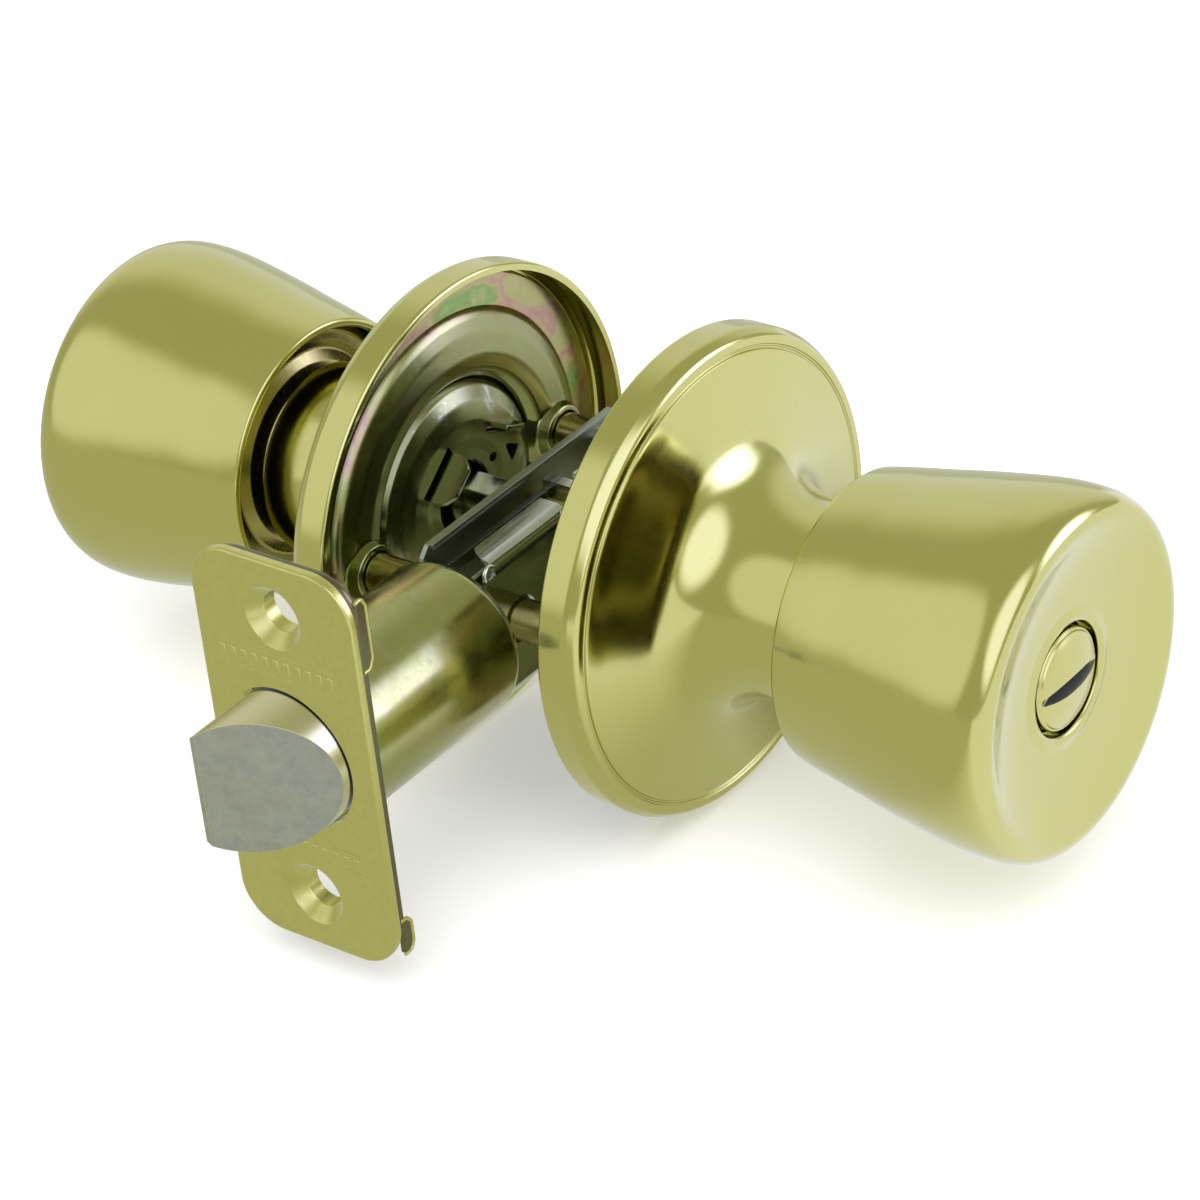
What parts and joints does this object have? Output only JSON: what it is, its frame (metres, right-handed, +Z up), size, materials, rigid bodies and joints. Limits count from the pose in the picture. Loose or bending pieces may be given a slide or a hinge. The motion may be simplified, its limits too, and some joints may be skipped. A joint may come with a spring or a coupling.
{
  "type": "door knob",
  "caption": "Tubular privacy door knob set with tulip knobs, round roses, a turn button with emergency release, and a bevelled spring latch on a round-cornered faceplate.",
  "frame": {"origin": "on the back face of the latch's backing plate, where it sits on the mortise floor, at the middle of the door's thickness and 26.5 mm above the latch axis; the spindle axis crosses the latch axis 57.5 mm along +Y and 26.5 mm down", "axes": "+X along the spindle to the exterior knob, -Y along the latch to the bolt and faceplate, +Z up"},
  "size_m": [0.1629, 0.1043, 0.066],
  "materials": {
    "bright_brass": "polished, lacquered",
    "yellow_zinc": "yellow zinc plated",
    "zinc_steel": "clear zinc plated",
    "spring_steel": "plain spring steel"
  },
  "bodies": {
    "fixed_set": {"ext_rose": "bright_brass", "ext_mounting_plate": "yellow_zinc", "ext_spring_cap": "yellow_zinc", "ext_torsion_spring": "spring_steel", "ext_post_front": "yellow_zinc", "ext_post_rear": "yellow_zinc", "int_rose": "bright_brass", "int_mounting_plate": "yellow_zinc", "int_spring_cap": "yellow_zinc", "int_torsion_spring": "spring_steel", "int_screw_front": "zinc_steel", "int_screw_rear": "zinc_steel", "faceplate": "bright_brass", "backing_plate": "zinc_steel", "latch_tube": "yellow_zinc", "bolt_spring": "spring_steel", "spring_seat": "zinc_steel", "case_left": "zinc_steel", "case_right": "zinc_steel", "case_pin_upper": "zinc_steel", "case_pin_lower": "zinc_steel"},
    "ext_knob": {"ext_knob_shell": "bright_brass", "ext_knob_insert": "yellow_zinc", "ext_spindle_plug": "zinc_steel", "ext_retaining_ring": "spring_steel", "ext_return_driver": "zinc_steel", "ext_stem_guide": "zinc_steel", "spindle": "zinc_steel"},
    "int_knob": {"int_knob_shell": "bright_brass", "int_knob_insert": "yellow_zinc", "int_spindle_socket": "zinc_steel", "int_retaining_ring": "spring_steel", "int_return_driver": "zinc_steel", "int_stem_guide": "zinc_steel"},
    "hub": {"latch_hub": "zinc_steel"},
    "retractor": {"retractor": "zinc_steel"},
    "bolt": {"latch_bolt": "bright_brass", "bolt_rod": "zinc_steel"},
    "lock": {"lock_bar": "zinc_steel", "emergency_button": "bright_brass", "turn_button": "bright_brass"}
  },
  "joints": [
    {"name": "ext_knob_turn", "type": "hinge", "parent": "fixed_set", "child": "ext_knob", "pos_m": [0, 0.0575, -0.0265], "axis": [-1, 0, 0], "range_deg": [0, 75]},
    {"name": "int_knob_turn", "type": "hinge", "parent": "fixed_set", "child": "int_knob", "pos_m": [0, 0.0575, -0.0265], "axis": [-1, 0, 0], "range_deg": [0, 75]},
    {"name": "hub_turn", "type": "hinge", "parent": "fixed_set", "child": "hub", "pos_m": [0, 0.0575, -0.0265], "axis": [-1, 0, 0], "range_deg": [0, 75]},
    {"name": "retractor_slide", "type": "slide", "parent": "fixed_set", "child": "retractor", "axis": [0, 1, 0], "range_m": [0, 0.011]},
    {"name": "bolt_slide", "type": "slide", "parent": "fixed_set", "child": "bolt", "axis": [0, 1, 0], "range_m": [0, 0.011], "deforming": ["bolt_spring"]},
    {"name": "lock_turn", "type": "hinge", "parent": "ext_knob", "child": "lock", "pos_m": [0, 0.0575, -0.0265], "axis": [1, 0, 0], "range_deg": [0, 90]}
  ],
  "couplings": [
    {"joint": "int_knob_turn", "follows": "ext_knob_turn", "ratio": 1},
    {"joint": "hub_turn", "follows": "ext_knob_turn", "ratio": 1},
    {"joint": "retractor_slide", "follows": "ext_knob_turn", "m_per_rad": 0.008365},
    {"joint": "bolt_slide", "follows": "ext_knob_turn", "m_per_rad": 0.008365}
  ]
}
